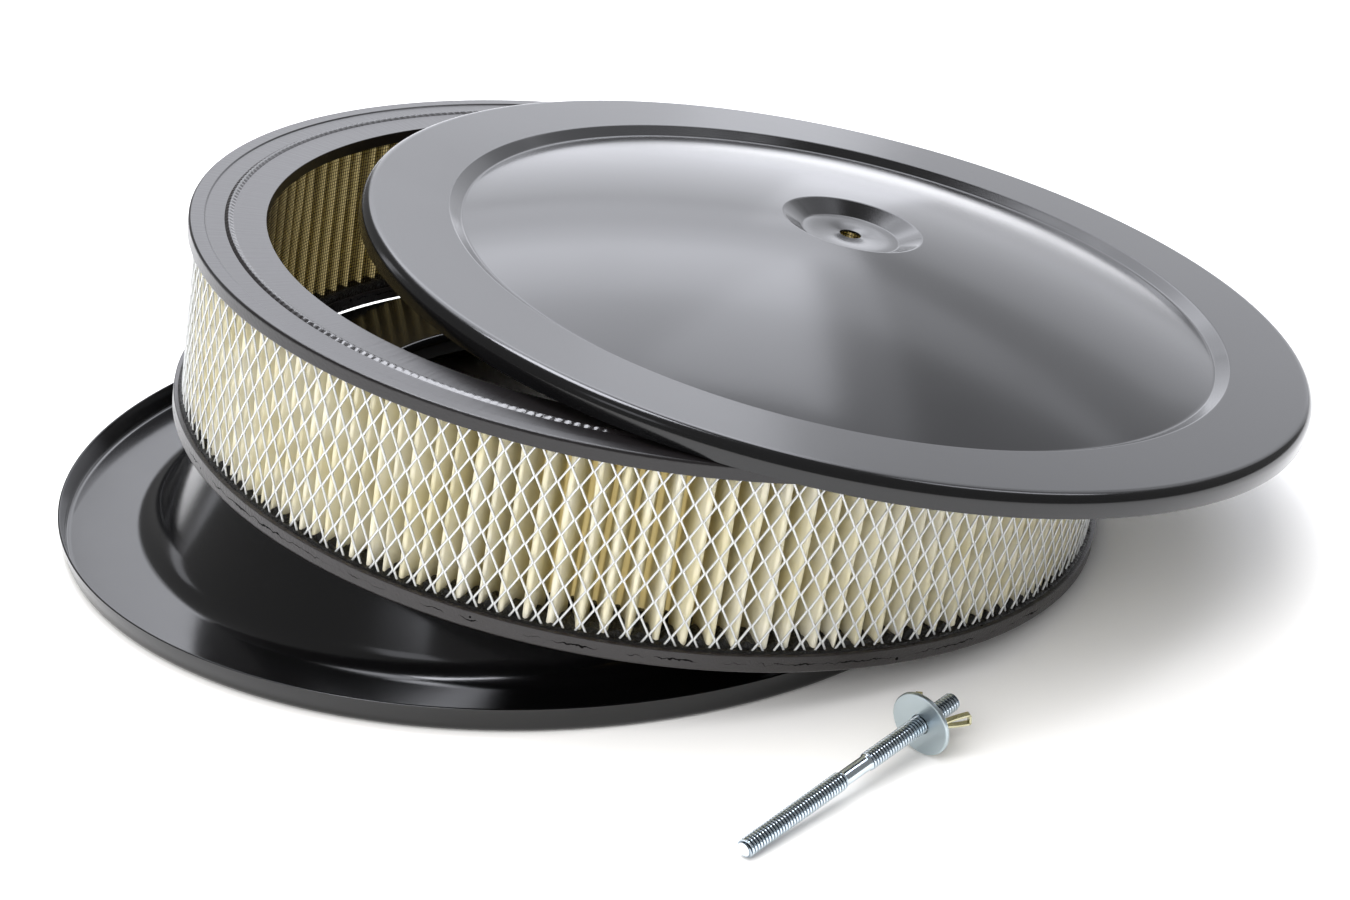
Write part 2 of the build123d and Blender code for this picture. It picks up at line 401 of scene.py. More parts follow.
def colour(code: str) -> tuple[float, float, float, float]:
    """Turns an sRGB hex colour, such as "a0b1c2", to linear.

    Args:
        code: Red, green and blue, in two hex digits each.

    Returns:
        The linear colour, with full opacity.
    """
    parts = [int(code[index : index + 2], 16) / 255 for index in (0, 2, 4)]
    linear = [p / 12.92 if p <= 0.04045 else ((p + 0.055) / 1.055) ** 2.4 for p in parts]
    return (*linear, 1.0)


def add_node(
    tree: Tree,
    kind: str,
    inputs: dict | tuple = (),
    feeds: Socket | None = None,
    stops: tuple[tuple[float, str], ...] = (),
    **settings,
) -> Node:
    """Adds a node with its settings and links.

    Args:
        tree: The node tree that gets it.
        kind: The node's type, without its prefix.
        inputs: Values, sockets or nodes, by the name or number of the input or in the
            inputs' order. A node stands for its first output.
        feeds: The input that its first output goes to.
        stops: Place and hex colour of each stop, for a colour ramp.
        settings: Properties of the node by name.

    Returns:
        The new node.
    """
    made = tree.nodes.new("ShaderNode" + kind)
    for name, value in settings.items():
        setattr(made, name, value)
    for key, value in inputs.items() if isinstance(inputs, dict) else enumerate(inputs):
        source = value.outputs[0] if isinstance(value, Node) else value
        if isinstance(source, Socket):
            tree.links.new(source, made.inputs[key])
        else:
            made.inputs[key].default_value = source
    if stops:
        elements = made.color_ramp.elements
        while len(elements) < len(stops):
            elements.new(1.0)
        for element, (place, code) in zip(elements, stops):
            element.position = place
            element.color = colour(code)
    if feeds is not None:
        tree.links.new(made.outputs[0], feeds)
    return made


def local_place(tree: Tree, place: Matrix) -> Node:
    """Object coordinates about a piece's own axis, in millimetres.

    Args:
        tree: The node tree.
        place: The piece's frame, in millimetres.

    Returns:
        The node that gives them.
    """
    inputs = {
        "Vector": add_node(tree, "TexCoord").outputs["Object"],
        "Location": place.translation * MM,
        "Rotation": place.to_euler("XYZ"),
        "Scale": (MM, MM, MM),
    }
    return add_node(tree, "Mapping", inputs, vector_type="TEXTURE")


def polar_place(tree: Tree, place: Matrix) -> tuple[Socket, ...]:
    """Radius, angle and height about a piece's own axis.

    Args:
        tree: The node tree.
        place: The piece's frame, in millimetres.

    Returns:
        Sockets of the radius in millimetres, the angle in radians and the height.
    """
    x, y, height = add_node(tree, "SeparateXYZ", (local_place(tree, place),)).outputs
    flat = add_node(tree, "CombineXYZ", (x, y))
    radius = add_node(tree, "VectorMath", (flat,), operation="LENGTH")
    angle = add_node(tree, "Math", (y, x), operation="ARCTAN2")
    return radius.outputs["Value"], angle.outputs["Value"], height


@dataclass(frozen=True)
class Finish:
    """What every finish has: a name, a colour and a base roughness."""

    name: str
    base: str
    roughness: float

    def start(self, **values: float) -> tuple[Material, Tree, Node]:
        """Makes the material with its shader at this finish's plain values.

        Args:
            values: More inputs of the shader, with _ for each space in their names.

        Returns:
            The material, its node tree and its Principled shader.
        """
        material = bpy.data.materials.new(self.name)
        material.use_nodes = True
        tree = material.node_tree
        shader = tree.nodes["Principled BSDF"]
        shader.inputs["Base Color"].default_value = colour(self.base)
        shader.inputs["Roughness"].default_value = self.roughness
        for name, value in values.items():
            shader.inputs[name.replace("_", " ")].default_value = value
        return material, tree, shader


@dataclass(frozen=True)
class BakedEnamel(Finish):
    """Baked black enamel on pressed steel: a smooth dark film that mirrors softly at a slant,
    with a faint orange peel and a few fine specks of dust under it."""

    name: str = "baked_black_enamel"
    base: str = "0a0a0b"
    roughness: float = 0.15
    peel_mm: float = 5.0
    haze_mm: float = 60.0
    speck_mm: float = 9.0
    speck_share: float = 0.035
    speck_rise: float = 0.2

    def build(self) -> Material:
        """Builds the material.

        Returns:
            The material.
        """
        material, tree, shader = self.start(IOR=1.52)
        place = local_place(tree, Matrix.Identity(4))
        look = {"Vector": place, "Scale": 1 / self.haze_mm, "Detail": 3.0}
        haze = add_node(tree, "TexNoise", look)
        dull = (haze, 0.3, 0.7, self.roughness - 0.02, self.roughness + 0.03)
        add_node(tree, "MapRange", dull, shader.inputs["Roughness"])
        look = {"Vector": place, "Scale": 1 / self.peel_mm, "Detail": 2.0}
        peel = add_node(tree, "TexNoise", look)
        specks = add_node(tree, "TexVoronoi", {"Vector": place, "Scale": 1 / self.speck_mm})
        speck = add_node(tree, "MapRange", (specks, 0.0, self.speck_share, 1.0, 0.0))
        height = add_node(tree, "Math", (speck, self.speck_rise, peel), operation="MULTIPLY_ADD")
        relief = {"Height": height, "Strength": 0.03, "Distance": 0.0002}
        add_node(tree, "Bump", relief, shader.inputs["Normal"])
        return material


@dataclass(frozen=True)
class MouldedRubber(Finish):
    """Soft urethane end ring, cast in a mould: dark grey, satin, with fine lines across it
    left by the mould, and on the lower ring a ragged line and nicks where the skin tore."""

    name: str = "cast_urethane"
    base: str = "151314"
    roughness: float = 0.3
    line_mm: float = 1.6
    line_radius: float = 170.0
    line_strength: float = 0.22
    torn_strength: float = 0.5
    tear_run: float = 3.0
    tear_height: float = 1.9
    tear_half: float = 0.3
    pit_share: float = 0.07
    place: Matrix = field(default_factory=lambda: Matrix.Identity(4))
    torn: bool = False

    def build(self) -> Material:
        """Builds the material.

        Returns:
            The material.
        """
        material, tree, shader = self.start(IOR=1.5)
        radius, angle, height = polar_place(tree, self.place)
        lines = self.line_radius / self.line_mm
        across = add_node(tree, "Math", (angle, lines), operation="MULTIPLY")
        inwards = add_node(tree, "Math", (radius, 0.05), operation="MULTIPLY")
        around = add_node(tree, "CombineXYZ", (across, inwards, height))
        look = {"Vector": around, "Scale": 1.0, "Detail": 2.0}
        relief = add_node(tree, "TexNoise", look)
        strength = self.line_strength
        if self.torn:
            relief, strength = self.tear(tree, shader, height), self.torn_strength
        bump = {"Height": relief, "Strength": strength, "Distance": 0.0004}
        add_node(tree, "Bump", bump, shader.inputs["Normal"])
        return material

    def tear(self, tree: Tree, shader: Node, height: Socket) -> Node:
        """Draws the ragged line and the nicks, dark and dull.

        Args:
            tree: The node tree.
            shader: Its Principled shader.
            height: Height about the ring's own axis.

        Returns:
            The node with the surface's relief.
        """
        place = local_place(tree, self.place)
        wander = add_node(tree, "TexNoise", {"Vector": place, "Scale": 0.35, "Detail": 4.0})
        course = (wander, self.tear_run, self.tear_height)
        level = add_node(tree, "Math", course, operation="MULTIPLY_ADD")
        away = add_node(tree, "Math", (height, level), operation="SUBTRACT")
        off = add_node(tree, "Math", (away,), operation="ABSOLUTE")
        patch = add_node(tree, "TexNoise", {"Vector": place, "Scale": 0.08, "Detail": 3.0})
        gap = add_node(tree, "MapRange", (patch, 0.44, 0.68, 0.0, self.tear_half))
        line = add_node(tree, "Math", (gap, off), operation="GREATER_THAN")
        pits = add_node(tree, "TexVoronoi", {"Vector": place, "Scale": 0.11})
        pit = add_node(tree, "Math", (pits, self.pit_share), operation="LESS_THAN")
        hole = add_node(tree, "Math", (line, pit), operation="MAXIMUM")
        shades = {"Factor": hole, 6: colour(self.base), 7: colour("060606")}
        shade = add_node(tree, "Mix", shades, data_type="RGBA")
        tree.links.new(shade.outputs[2], shader.inputs["Base Color"])
        dull = {"Value": hole, "To Min": 0.5, "To Max": 0.02}
        add_node(tree, "MapRange", dull, shader.inputs["Specular IOR Level"])
        grain = add_node(tree, "TexNoise", {"Vector": place, "Scale": 1.1, "Detail": 4.0})
        return add_node(tree, "Math", (hole, -1.2, grain), operation="MULTIPLY_ADD")


@dataclass(frozen=True)
class FoamedCompound(Finish):
    """Moulding compound that foamed up inside the ring: black, wet looking and lumpy, with
    tiny pale spots painted on it as the highlights of bubbles that catch the light."""

    name: str = "foamed_compound"
    base: str = "0a0908"
    roughness: float = 0.28
    # Painted highlights: the pale spot colour and its darker rim, where bubbles catch the light.
    bubble_glint: str = "b8b2a4"
    bubble_glint_edge: str = "4a463c"
    bubble_mm: float = 1.3

    def build(self) -> Material:
        """Builds the material.

        Returns:
            The material.
        """
        material, tree, shader = self.start()
        place = local_place(tree, Matrix.Identity(4))
        bubbles = add_node(tree, "TexVoronoi", {"Vector": place, "Scale": 1 / self.bubble_mm})
        # Painted highlights: pale spots with darker rims where bubbles catch the light.
        stops = ((0.0, self.bubble_glint), (0.07, self.bubble_glint_edge), (0.11, self.base))
        add_node(tree, "ValToRGB", (bubbles,), shader.inputs["Base Color"], stops)
        lumps = add_node(tree, "TexNoise", {"Vector": place, "Scale": 0.9, "Detail": 5.0})
        relief = {"Height": lumps, "Strength": 0.9, "Distance": 0.0012}
        add_node(tree, "Bump", relief, shader.inputs["Normal"])
        return material


@dataclass(frozen=True)
class FilterPaper(Finish):
    """Resin-treated filter paper: matt cream at the outer folds, with painted shade that makes it
    darker and more amber deeper between the pleats and at the inner folds. Light that comes
    through from the other side is drawn as a faint glow."""

    name: str = "resin_filter_paper"
    base: str = "f6f5ec"
    roughness: float = 0.85
    # deep and inside are painted shade: darker, more amber colour deeper between the pleats and at
    # the inner folds.
    deep: str = "f0ebd0"
    inside: str = "c9bf90"
    glow: str = "ece5c2"
    through: float = 0.3
    lit_through: str = "988c68"
    lit_deep: str = "2e2817"
    clean: str = "fffdf6"
    stained: str = "f6f0d6"
    stain_mm: float = 22.0
    fibre_mm: float = 0.7
    inner_radius: float = 153.0
    outer_radius: float = 174.0
    place: Matrix = field(default_factory=lambda: Matrix.Identity(4))

    def build(self) -> Material:
        """Builds the material.

        Returns:
            The material.
        """
        material, tree, shader = self.start(Specular_IOR_Level=0.2, Emission_Strength=1.0)
        radius, _, _ = polar_place(tree, self.place)
        reach = (radius, self.inner_radius, self.outer_radius, 0.0, 1.0)
        depth = add_node(tree, "MapRange", reach)
        # Painted shade: the colour goes darker and more amber towards the inner folds.
        stops = ((0.0, self.inside), (0.3, self.deep), (0.85, self.base))
        shade = add_node(tree, "ValToRGB", (depth,), stops=stops)
        place = local_place(tree, self.place)
        look = {"Vector": place, "Scale": 1 / self.stain_mm, "Detail": 3.0}
        stains = add_node(tree, "TexNoise", look)
        stops = ((0.35, self.clean), (0.65, self.stained))
        tint = add_node(tree, "ValToRGB", (stains,), stops=stops)
        shades = {"Factor": 1.0, 6: shade, 7: tint}
        mixed = add_node(tree, "Mix", shades, data_type="RGBA", blend_type="MULTIPLY")
        tree.links.new(mixed.outputs[2], shader.inputs["Base Color"])
        look = {"Vector": place, "Scale": 1 / self.fibre_mm, "Detail": 4.0}
        fibres = add_node(tree, "TexNoise", look)
        relief = {"Height": fibres, "Strength": 0.25, "Distance": 0.0002}
        add_node(tree, "Bump", relief, shader.inputs["Normal"])
        stops = ((0.04, self.lit_through), (0.14, self.lit_deep), (0.3, "000000"))
        add_node(tree, "ValToRGB", (depth,), shader.inputs["Emission Color"], stops)
        glow = add_node(tree, "BsdfTranslucent", {"Color": colour(self.glow)})
        surface = tree.nodes["Material Output"].inputs["Surface"]
        add_node(tree, "MixShader", (self.through, shader, glow), surface)
        return material


@dataclass(frozen=True)
class PlainMetal(Finish):
    """Metal with a fine uneven polish: the base colour is the tint of what it mirrors."""

    metallic: float = 1.0
    grain_mm: float = 1.2
    spread: float = 0.06
    relief: float = 0.05

    def build(self) -> Material:
        """Builds the material.

        Returns:
            The material.
        """
        material, tree, shader = self.start(Metallic=self.metallic)
        place = local_place(tree, Matrix.Identity(4))
        look = {"Vector": place, "Scale": 1 / self.grain_mm, "Detail": 4.0}
        grain = add_node(tree, "TexNoise", look)
        polish = (grain, 0.3, 0.7, self.roughness - self.spread, self.roughness + self.spread)
        add_node(tree, "MapRange", polish, shader.inputs["Roughness"])
        relief = {"Height": grain, "Strength": self.relief, "Distance": 0.0002}
        add_node(tree, "Bump", relief, shader.inputs["Normal"])
        return material


@dataclass(frozen=True)
class ThreadedMetal(PlainMetal):
    """The same metal on a rolled thread: dull and dark at the roots and bright along the
    crests. The dark at the roots is partly oil and partly painted shade, drawn darker than oil
    alone leaves them, so that the fine thread shows at the photograph's distance."""

    # root: colour of the thread's roots, partly oil and partly painted shade.
    root: str = "5f6c76"
    end_radius: float = 2.38
    root_radius: float = 2.42
    crest_radius: float = 3.05
    root_share: float = 0.2
    neck_middle: float = 52.2
    neck_half: float = 6.6
    place: Matrix = field(default_factory=lambda: Matrix.Identity(4))

    def build(self) -> Material:
        """Builds the material.

        Returns:
            The material.
        """
        material = super().build()
        tree = material.node_tree
        radius, _, height = polar_place(tree, self.place)
        on_neck = (height, self.neck_middle, self.neck_half)
        neck = add_node(tree, "Math", on_neck, operation="COMPARE")
        reach = add_node(tree, "Math", (radius, neck), operation="ADD")
        depth = add_node(tree, "MapRange", (reach, self.end_radius, self.crest_radius))
        start = (self.root_radius - self.end_radius) / (self.crest_radius - self.end_radius)
        # Painted shade, with some oil: the roots are drawn darker than the crests.
        roots = ((start, self.root), (self.root_share, self.root))
        stops = ((0.0, self.base), *roots, (1.0, self.base))
        shade = tree.nodes["Principled BSDF"].inputs["Base Color"]
        add_node(tree, "ValToRGB", (depth,), shade, stops)
        return material


# Zinc plate, clear passivated: bright and slightly blue.
BRIGHT_ZINC = ThreadedMetal("bright_zinc_plate", "d4dee6", 0.17, spread=0.03, relief=0.01)
# The same plate on a punched washer: duller and paler, with soft clouds from the bath.
WASHER_ZINC = PlainMetal("clouded_zinc_plate", "bcc8cd", 0.34, grain_mm=5.0, relief=0.02)
# Zinc plate with a yellow passivation: pale straw with a green cast.
YELLOW_ZINC = PlainMetal("yellow_zinc_plate", "c3c0a0", 0.22, relief=0.01)
# Expanded steel with a thin galvanised coat: pale grey and satin.
GALVANISED = PlainMetal("galvanised_expanded_steel", "d6d8d8", 0.48, metallic=0.6, grain_mm=0.8)
# Woven steel wire: dull, with painted shade as its dark colour, for where it stands inside the
# filter.
SHADE_PAINTED_WIRE = PlainMetal("woven_steel_wire", "37322b", 0.45, metallic=0.8, grain_mm=0.8)


# Pieces


@dataclass(frozen=True)
class Layout:
    """How the pieces lie: the same rule of resting edges as the solids follow."""

    filter_radius: float = 177.8
    filter_height: float = 75.0
    base_rim_radius: float = 181.6
    ring_edge: float = 1.0
    rest_gap: float = 0.2
    lean_azimuth: float = -2.2
    foot_beyond_rim: float = 34.4
    filter_lean: float = math.radians(8.6894)
    lid_shift: float = 64.7
    lid_azimuth: float = 0.4
    lid_rise: float = 6.4
    lid_lean: float = math.radians(2.63438)
    stud_tip_x: float = 76.5
    stud_before_rim: float = 73.1
    stud_azimuth: float = 46.7
    stud_radius: float = 3.175
    washer_radius: float = 11.2
    washer_place: float = 85.4

    def base(self) -> Matrix:
        """Frame of the base pan, on the floor."""
        return Matrix.Translation((0, 0, FLOOR))

    def filter(self) -> Matrix:
        """Frame of the filter, at the middle of its underside."""
        lean, edge = self.filter_lean, self.ring_edge
        foot = self.filter_radius - edge
        reach = self.base_rim_radius + self.foot_beyond_rim
        reach -= foot * math.cos(lean) + edge * math.sin(lean)
        rise = self.rest_gap + foot * math.sin(lean) + edge * (1 - math.cos(lean))
        return leaning(self.base(), self.lean_azimuth, reach, rise, lean)

    def lid(self) -> Matrix:
        """Frame of the lid, at the middle of its rim's flat face."""
        top = self.filter() @ Matrix.Translation((0, 0, self.filter_height))
        return leaning(top, self.lid_azimuth, self.lid_shift, self.lid_rise, self.lid_lean)

    def stud(self, along: float = 0.0) -> Matrix:
        """Frame on the stud's axis, with its Z along the stud.

        Args:
            along: Distance from the stud's lower tip.

        Returns:
            The frame.
        """
        rise = math.atan2(self.washer_radius - self.stud_radius, self.washer_place)
        turn = math.radians(self.stud_azimuth)
        axis = at_polar(math.cos(rise), turn, math.sin(rise))
        side = Vector((math.sin(turn), -math.cos(turn), 0))
        before = -(self.base_rim_radius + self.stud_before_rim)
        height = FLOOR + self.rest_gap + self.stud_radius * math.cos(rise)
        tip = Vector((self.stud_tip_x, before, height))
        turned_to = Matrix((side, axis.cross(side), axis)).transposed().to_4x4()
        return Matrix.Translation(tip + axis * along) @ turned_to


LAYOUT = Layout()


@dataclass
class PressedPan:
    """What the base pan and the lid share: a pressed sheet, turned from one profile."""

    sheet: float = 0.9
    edge_break: float = 0.18
    columns: int = 288

    def press(self, name: str, profile: Profile, drawn_side: Facing) -> Piece:
        """Turns the drawn side of the sheet and gives it its thickness.

        Args:
            name: The piece's name.
            profile: The drawn side, from the middle outwards.
            drawn_side: Which way its first face looks.

        Returns:
            The closed sheet, with its cut edges broken.
        """
        piece = turned(name, profile, self.columns)
        weld(piece)
        first = piece.data.polygons[0]
        outwards = Vector((first.center.x, first.center.y, 0)).normalized()
        looks = first.normal.z if drawn_side is Facing.UP else -first.normal.dot(outwards)
        if looks < 0:
            with edit_mode(piece):
                bpy.ops.mesh.flip_normals()
        apply_modifier(piece, "SOLIDIFY", thickness=self.sheet, offset=-1, use_even_offset=True)
        break_edges(piece, self.edge_break, 2, 60)
        smooth(piece)
        return piece


@dataclass
class BasePan(PressedPan):
    """The base pan: a rim, a flat seat, a raised hat and the carburetor neck turned down."""

    rim_radius: float = 181.6
    rim_height: float = 9.6
    rim_flare: float = 1.4
    rim_bend: float = 2.0
    foot_radius: float = 146.0
    foot_bend: float = 13.0
    hat_radius: float = 113.5
    hat_height: float = 47.0
    hat_bend: float = 4.0
    neck_radius: float = 65.1
    neck_length: float = 8.0
    neck_bend: float = 3.0

    def build(self, finish: Material) -> None:
        """Models the pan and lays it on the floor.

        Args:
            finish: Its material.
        """
        rim = self.rim_radius - self.sheet
        corners = [
            (self.neck_radius, self.hat_height - self.neck_length, 0.0),
            (self.neck_radius, self.hat_height, self.neck_bend),
            (self.hat_radius, self.hat_height, self.hat_bend),
            (self.foot_radius, self.sheet, self.foot_bend),
            (rim - self.rim_flare, self.sheet, self.rim_bend),
            (rim, self.rim_height, 0.0),
        ]
        piece = self.press("base_pan_sheet", rounded(corners, 10), Facing.INWARDS)
        lay(piece, finish, LAYOUT.base(), "cleaner", "black_enamel", "base_pan")


@dataclass
class Lid(PressedPan):
    """The lid: a flange, a flat rim, a centring bead, a low dome and a dish with a hole."""

    radius: float = 180.77
    flange_height: float = 8.19
    flange_flare: float = 0.5
    flange_bend: float = 4.0
    bead_radius: float = 148.5
    bead_depth: float = 3.0
    bead_run: float = 5.0
    bead_bend: float = 1.8
    crown_height: float = 18.49
    crown_bulge: float = 3.4
    dish_depth: float = 4.0
    dish_radius: float = 26.5
    dish_floor_radius: float = 18.7
    dish_bend: float = 2.0
    hole_radius: float = 4.075
    dome_runs: int = 26

    def crown(self) -> Profile:
        """Points of the dome's arc, from the dish's edge to the bead.

        Returns:
            Radius and height of each point.
        """
        first = Vector((self.dish_radius, self.crown_height))
        last = Vector((self.bead_radius - self.bead_run, -self.bead_depth))
        middle = (first + last) / 2 + Vector((0, self.crown_bulge))
        centre, radius = circle_through(first, middle, last)
        start = math.atan2(first.y - centre.y, first.x - centre.x)
        end = math.atan2(last.y - centre.y, last.x - centre.x)
        runs = self.dome_runs
        turns = [start + (end - start) * step / runs for step in range(runs + 1)]
        return [(centre.x + radius * math.cos(t), centre.y + radius * math.sin(t)) for t in turns]

    def build(self, finish: Material) -> None:
        """Models the lid and lays it on the filter.

        Args:
            finish: Its material.
        """
        dish = self.crown_height - self.dish_depth
        crown = self.crown()
        corners = [
            (self.hole_radius, dish, 0.0),
            (self.dish_floor_radius, dish, self.dish_bend),
            (*crown[0], self.dish_bend),
            *[(*point, 0.0) for point in crown[1:-1]],
            (*crown[-1], self.bead_bend),
            (self.bead_radius, 0.0, self.bead_bend),
            (self.radius - self.flange_flare, 0.0, self.flange_bend),
            (self.radius, -self.flange_height, 0.0),
        ]
        piece = self.press("lid_sheet", rounded(corners, 10), Facing.UP)
        lay(piece, finish, LAYOUT.lid(), "cleaner", "black_enamel", "lid")


def circle_through(first: Vector, middle: Vector, last: Vector) -> tuple[Vector, float]:
    """Circle through three points of a plane.

    Args:
        first: The first point.
        middle: A point between the others.
        last: The last point.

    Returns:
        Its centre and radius.
    """
    turn = 2 * ((middle - first).cross(last - first))
    a, b = (middle - first).length_squared, (last - first).length_squared
    one, two = middle - first, last - first
    centre = first + Vector((two.y * a - one.y * b, one.x * b - two.x * a)) / turn
    return centre, (first - centre).length


@dataclass
class Filter:
    """The filter element: two cast end rings, pleated paper, expanded steel outside it and
    woven wire inside it."""

    radius: float = 177.8
    height: float = 75.0
    opening: float = 149.6
    ring_height: float = 5.2
    ring_edge: float = 1.0
    ring_step: float = 0.5
    ring_bend: float = 0.25
    seam_inset: float = 9.0
    outer_land: float = 5.6
    bead_radius: float = 163.2
    bead_width: float = 3.2
    bead_height: float = 0.75
    tooth_count: int = 330
    tick_depth: float = 0.25
    lip_width: float = 2.0
    lip_height: float = 1.2
    lip_bend: float = 0.35
    compound_sink: float = 0.5
    compound_rise: float = 0.7
    compound_gap_rise: float = 2.3
    compound_columns: int = 1824
    band_height: float = 3.2
    band_columns: int = 960
    mesh_radius: float = 174.5
    mesh_columns: int = 148
    mesh_start: float = 1.5
    mesh_tuck: float = 0.8
    diamond_height: float = 12.2
    strand_width: float = 0.88
    strand_thickness: float = 0.7
    strand_tilt: float = 10.0
    knot_share: float = 0.3
    pleat_count: int = 152
    pleat_rows: int = 10
    crowding: float = 0.25
    crowded_lobes: int = 3
    widest_pleat: float = -78.0
    pleat_outside: float = 173.3
    pleat_inside: float = 153.9
    pleat_drop: float = 0.7
    fold_radius: float = 0.75
    paper_thickness: float = 0.45
    screen_radius: float = 152.9
    wire_radius: float = 0.16
    wire_pitch: float = 1.35
    columns: int = 288

    def wall(self) -> tuple[float, float]:
        """Lowest and highest point of the paper between the rings."""
        return self.ring_height, self.height - self.ring_height

    def cast(self, node: str, corners: Corners, finish: Material) -> None:
        """Turns one end ring and lays it in place of the CAD node that it stands for.

        Args:
            node: The CAD node's name.
            corners: Radius, height and bend of each corner of the section.
            finish: Its material.
        """
        piece = ringed(f"{node}_cast", rounded(corners, 5), self.columns)
        smooth(piece)
        lay(piece, finish, LAYOUT.filter(), "cleaner", "moulded_ring", node)

    def top_ring(self, finish: Material) -> None:
        """Models the upper ring, with its raised land.

        Args:
            finish: Its material.
        """
        flat, bend = self.height - self.ring_step, self.ring_bend
        low, land = self.height - self.ring_height, self.radius - self.outer_land
        corners = [
            (self.opening + self.seam_inset, flat, 0.0),
            (self.opening, flat, bend),
            (self.opening, low, bend),
            (self.radius, low, 0.3),
            (self.radius, self.height, self.ring_edge),
            (land, self.height, bend),
            (land - self.ring_step, flat, bend),
            (self.bead_radius + self.bead_width / 2 + 0.1, flat, 0.0),
        ]
        self.cast("filter_top_ring", corners, finish)

    def bottom_ring(self, finish: Material) -> None:
        """Models the lower ring, with the low lip round its ledge.

        Args:
            finish: Its material.
        """
        lip, bend = self.ring_height + self.lip_height, self.ring_bend
        inner = self.radius - self.lip_width
        corners = [
            (self.opening + self.seam_inset, 0.0, 0.0),
            (self.opening, 0.0, bend),
            (self.opening, self.ring_height, bend),
            (inner, self.ring_height, 0.2),
            (inner, lip, self.lip_bend),
            (self.radius, lip, self.lip_bend),
            (self.radius, 0.0, self.ring_edge),
            (self.radius - self.seam_inset, 0.0, 0.0),
        ]
        self.cast("filter_bottom_ring", corners, finish)

    def bead(self, finish: Material) -> None:
        """Models the low rounded bead on the upper ring, with fine ticks across it.

        Args:
            finish: Its material.
        """
        flat, half = self.height - self.ring_step, self.bead_width / 2
        flank = [(1.0, 0.0), (0.35, 0.78), (0.15, 0.96)]
        shape = [(-1.0, -0.2), *((-across, rise) for across, rise in flank), (0.0, 1.0)]
        shape += [*reversed(flank), (1.0, -0.2)]
        profile = [
            (self.bead_radius + half * across, flat + self.bead_height * rise)
            for across, rise in shape
        ]
        columns = self.tooth_count * 4
        piece = ringed("top_ring_bead", profile, columns)
        for vertex in piece.data.vertices:
            reach, turn = polar(vertex.co)
            if round(turn * columns / (2 * math.pi)) % 4 == 0:
                crown = 1.0 - ((reach - self.bead_radius) / half) ** 2
                vertex.co.z -= self.tick_depth * max(crown, 0.0)
        smooth(piece, 50)
        lay(piece, finish, LAYOUT.filter(), "cleaner", "moulded_ring")

    def compound(self, finish: Material) -> None:
        """Models the lumpy compound that has risen on the lower ring's ledge, highest between
        the pleats outside, and in a level ragged band at the foot of the inner screen.

        Args:
            finish: Its material.
        """
        low = self.ring_height - self.compound_sink
        pieces = [self.outer_compound(low), self.inner_compound(low)]
        piece = join("bottom_ring_compound", pieces)
        smooth(piece, 80)
        lay(piece, finish, LAYOUT.filter(), "cleaner", "moulded_ring")

    def outer_compound(self, low: float) -> Piece:
        """Models the compound outside the paper, from a height up.

        Args:
            low: Height of its underside.

        Returns:
            The closed ring of compound.
        """
        inner, outer = self.pleat_outside - 8.0, self.radius - self.lip_width + 0.5
        crest, foot = self.mesh_radius - 1.0, self.ring_height + self.lip_height
        profile = [(inner, low), (inner, foot)]
        profile += [(inner + (crest - inner) * step / 7, foot) for step in range(1, 8)]
        profile += [(crest + past, foot) for past in (0.5, 1.3, 2.2)]
        profile += [(outer - 0.1, foot - 0.3), (outer, low)]
        piece = ringed("outer_compound", profile, self.compound_columns)
        shares: dict[int, float] = {}
        for vertex in piece.data.vertices:
            if vertex.co.z < low + 0.1:
                continue
            reach, turn = polar(vertex.co)
            column = round(turn * self.compound_columns / (2 * math.pi))
            if column not in shares:
                shares[column] = self.gap_share(turn)
            lump = noise.fractal(vertex.co * 0.5, 1.0, 2.0, 3)
            wave = noise.noise(vertex.co * 0.06)
            if reach < crest + 0.1:
                between = self.compound_gap_rise * shares[column] * (1.0 + 0.5 * wave)
                vertex.co.z += self.compound_rise + between + 0.8 * lump + 0.5 * wave
            elif reach < outer - 0.5:
                vertex.co.z += 0.6 + 0.5 * lump
        return piece

    def inner_compound(self, low: float) -> Piece:
        """Models the band of compound inside the paper, from a height up.

        Args:
            low: Height of its underside.

        Returns:
            The closed ring of compound.
        """
        within, without = self.opening + 0.9, self.pleat_inside + 3.0
        level = self.ring_height + self.band_height
        profile = [
            (within, low),
            (within + 0.1, level - 1.4),
            (within + 0.8, level - 0.2),
            (within + 1.8, level),
            (without - 1.0, level + 0.2),
            (without, level),
            (without, low),
        ]
        piece = ringed("inner_compound", profile, self.band_columns)
        for vertex in piece.data.vertices:
            if vertex.co.z > low + 0.1:
                lump = noise.fractal(vertex.co * 0.45, 1.0, 2.0, 3)
                vertex.co.z += 0.9 * lump + 0.5 * noise.noise(vertex.co * 0.08)
        return piece

